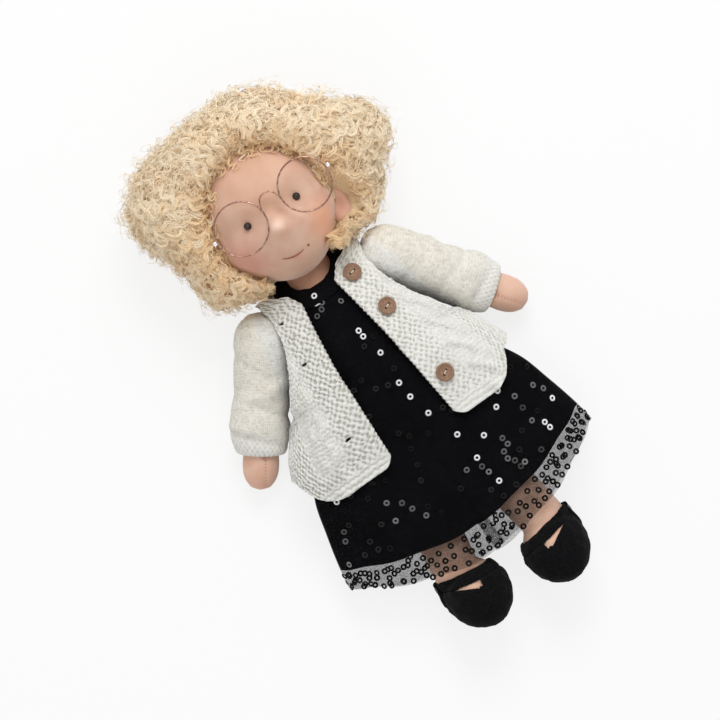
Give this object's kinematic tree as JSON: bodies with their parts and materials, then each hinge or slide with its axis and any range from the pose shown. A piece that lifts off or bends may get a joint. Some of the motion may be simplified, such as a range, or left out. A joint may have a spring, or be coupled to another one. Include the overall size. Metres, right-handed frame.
{
  "type": "waldorf doll",
  "caption": "Soft stuffed doll with turning head, swinging limbs, mohair hair, removable wire glasses, sequinned dress, knitted cardigan and felt strap shoes.",
  "frame": {"origin": "middle of the flat of the cardigan's back, on the surface the doll lies on", "axes": "+X to the doll's left, +Y up the body to the head, +Z out of the chest"},
  "size_m": [0.1708, 0.3032, 0.0772],
  "materials": {
    "jersey": "fine cotton jersey, peach",
    "wool": "carded sheep's wool",
    "bead": "polished black glass bead",
    "stitch": "embroidery thread",
    "crochet": "crocheted mohair yarn",
    "mohair": "curled honey blond mohair locks",
    "rose_gold": "polished rose gold plated wire",
    "lens": "thin clear plastic lens",
    "hinge_steel": "polished hinge block",
    "waxed_thread": "waxed linen thread knot",
    "lining_cloth": "fuzzy black knit with ring sequins",
    "tulle": "sheer black tulle with sequins at the hem",
    "knit": "ivory wool, cable and moss stitch",
    "sleeve_knit": "ivory wool stockinette",
    "wood": "oiled brown wood, turned",
    "felt": "matte black wool felt",
    "press_stud": "dark metal press stud"
  },
  "bodies": {
    "torso": {"torso_skin": "jersey", "torso_stuffing": "wool", "dress_bodice": "lining_cloth", "skirt_lining": "lining_cloth", "skirt_overlay": "tulle", "cardigan_back": "knit", "cardigan_right_front": "knit", "cardigan_left_front": "knit", "button_1": "wood", "button_2": "wood", "button_3": "wood"},
    "neck": {"neck_stalk": "jersey"},
    "head": {"head_skin": "jersey", "head_core": "wool", "left_eye": "bead", "right_eye": "bead", "left_ear": "jersey", "right_ear": "jersey", "mouth_stitch": "stitch", "wig_cap": "crochet", "hair_right_side": "mohair", "hair_right_crown": "mohair", "hair_fringe": "mohair", "hair_left_crown": "mohair", "hair_left_side": "mohair", "hair_back": "mohair"},
    "glasses": {"left_rim": "rose_gold", "right_rim": "rose_gold", "bridge": "rose_gold", "left_temple": "rose_gold", "right_temple": "rose_gold", "left_lens": "lens", "right_lens": "lens", "left_hinge": "hinge_steel", "right_hinge": "hinge_steel"},
    "left_shoulder": {"left_shoulder_knot": "waxed_thread"},
    "left_arm": {"left_arm_skin": "jersey", "left_arm_stuffing": "wool", "left_sleeve": "sleeve_knit"},
    "right_shoulder": {"right_shoulder_knot": "waxed_thread"},
    "right_arm": {"right_arm_skin": "jersey", "right_arm_stuffing": "wool", "right_sleeve": "sleeve_knit"},
    "left_leg": {"left_leg_skin": "jersey", "left_leg_stuffing": "wool", "left_shoe_upper": "felt", "left_shoe_sole": "felt"},
    "left_strap": {"left_shoe_strap": "felt", "left_shoe_stud": "press_stud"},
    "right_leg": {"right_leg_skin": "jersey", "right_leg_stuffing": "wool", "right_shoe_upper": "felt", "right_shoe_sole": "felt"},
    "right_strap": {"right_shoe_strap": "felt", "right_shoe_stud": "press_stud"}
  },
  "joints": [
    {"name": "neck_nod", "type": "hinge", "parent": "torso", "child": "neck", "pos_m": [0.001, 0.042, 0.0261], "axis": [1, 0, 0], "range_deg": [-6, 10]},
    {"name": "head_turn", "type": "hinge", "parent": "neck", "child": "head", "pos_m": [0.001, 0.06, 0.0261], "axis": [0, 1, 0], "range_deg": [-30, 30]},
    {"name": "glasses_slide", "type": "slide", "parent": "head", "child": "glasses", "axis": [0, 0, 1], "range_m": [0, 0.055]},
    {"name": "left_arm_swing", "type": "hinge", "parent": "torso", "child": "left_shoulder", "pos_m": [0.038, 0.036, 0.024], "axis": [-1, 0, 0], "range_deg": [0, 100]},
    {"name": "left_arm_raise", "type": "hinge", "parent": "left_shoulder", "child": "left_arm", "pos_m": [0.038, 0.036, 0.024], "axis": [0, 0, 1], "range_deg": [0, 50]},
    {"name": "right_arm_swing", "type": "hinge", "parent": "torso", "child": "right_shoulder", "pos_m": [-0.038, 0.036, 0.024], "axis": [-1, 0, 0], "range_deg": [0, 100]},
    {"name": "right_arm_raise", "type": "hinge", "parent": "right_shoulder", "child": "right_arm", "pos_m": [-0.038, 0.036, 0.024], "axis": [0, 0, -1], "range_deg": [0, 50]},
    {"name": "left_hip_swing", "type": "hinge", "parent": "torso", "child": "left_leg", "pos_m": [0.0145, -0.046, 0.02], "axis": [-1, 0, 0], "range_deg": [0, 80], "deforming": ["skirt_lining", "cardigan_left_front"]},
    {"name": "right_hip_swing", "type": "hinge", "parent": "torso", "child": "right_leg", "pos_m": [-0.0145, -0.046, 0.02], "axis": [-1, 0, 0], "range_deg": [0, 80], "deforming": ["skirt_overlay", "cardigan_right_front"]},
    {"name": "left_strap_open", "type": "hinge", "parent": "left_leg", "child": "left_strap", "pos_m": [0.00615, -0.12754, 0.0136], "axis": [0.1479, -0.9858, -0.0799], "range_deg": [0, 40]},
    {"name": "right_strap_open", "type": "hinge", "parent": "right_leg", "child": "right_strap", "pos_m": [-0.00622, -0.12374, 0.01358], "axis": [0.1561, 0.9841, 0.0843], "range_deg": [0, 40]}
  ]
}
